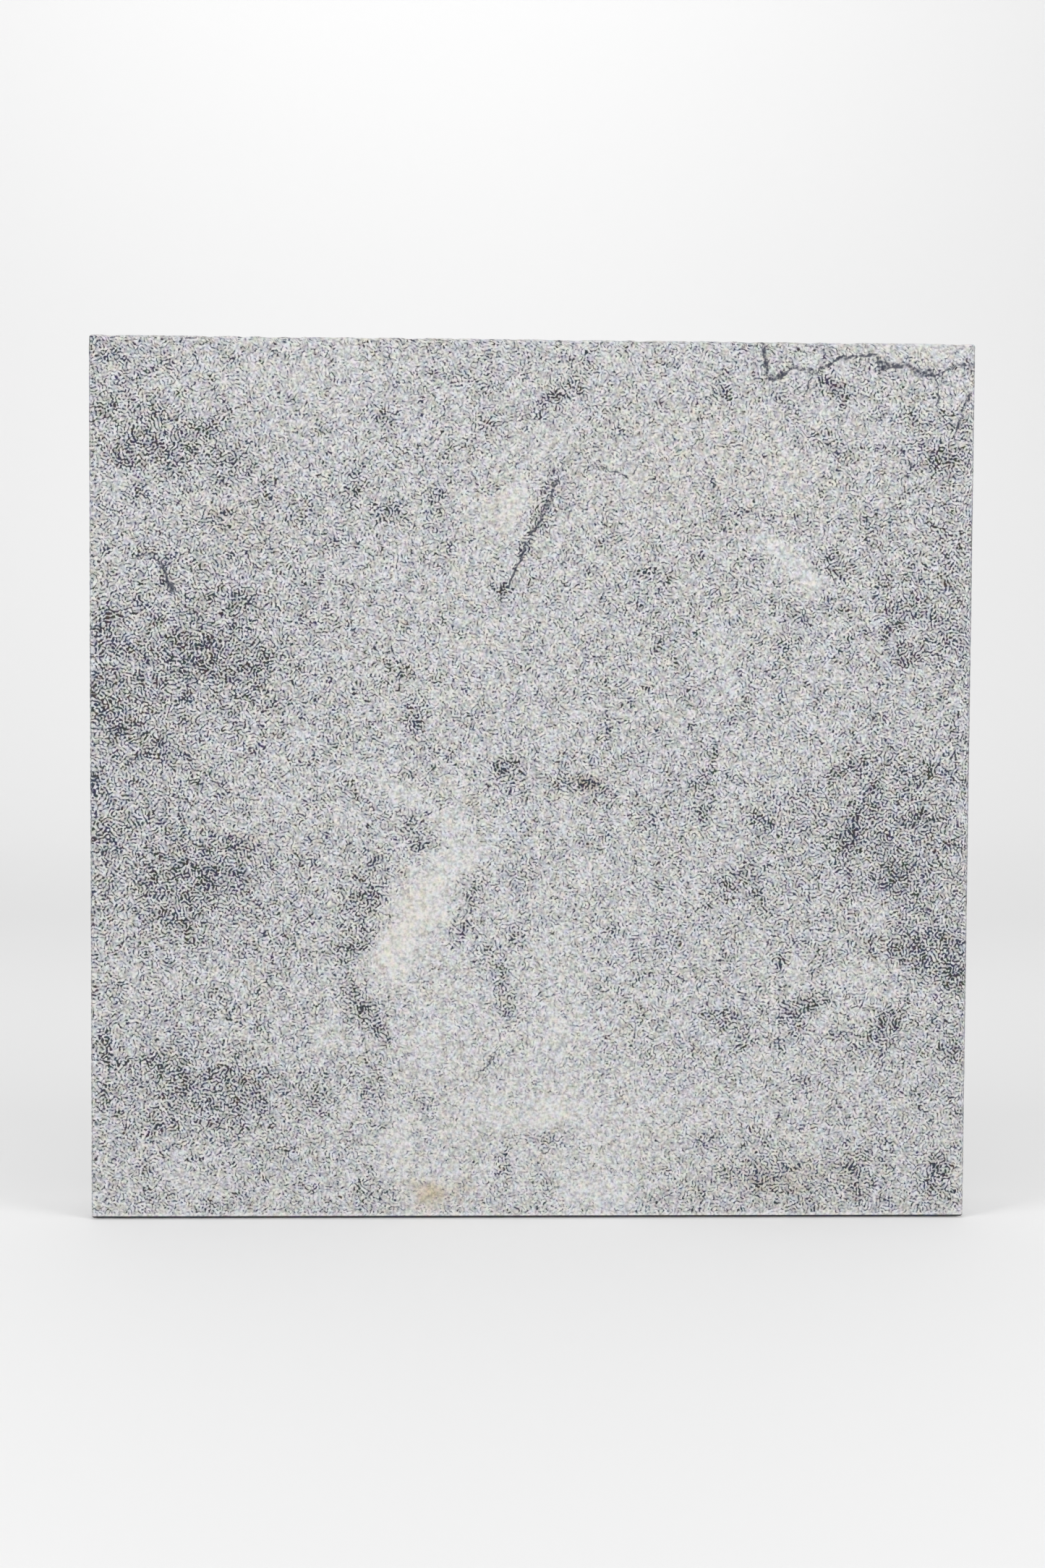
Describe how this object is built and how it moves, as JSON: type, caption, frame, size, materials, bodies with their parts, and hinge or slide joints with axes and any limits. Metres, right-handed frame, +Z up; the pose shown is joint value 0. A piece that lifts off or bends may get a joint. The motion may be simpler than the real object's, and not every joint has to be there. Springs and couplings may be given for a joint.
{
  "type": "granite slab",
  "caption": "Square slab of honed granite with eased edges: a hard, flat, heavy surface for stamping, skiving and gluing leather.",
  "frame": {"origin": "middle of the flat bottom edge that the slab stands on, at mid width and mid thickness", "axes": "+X to the right along the width, +Y from the working face to the back, through the thickness, +Z up the height; the working face looks along -Y"},
  "size_m": [0.305, 0.032, 0.305],
  "materials": {
    "granite": "honed, fine pepper-and-salt grain with soft darker clouds"
  },
  "bodies": {
    "root": {"granite_slab": "granite"}
  },
  "joints": []
}
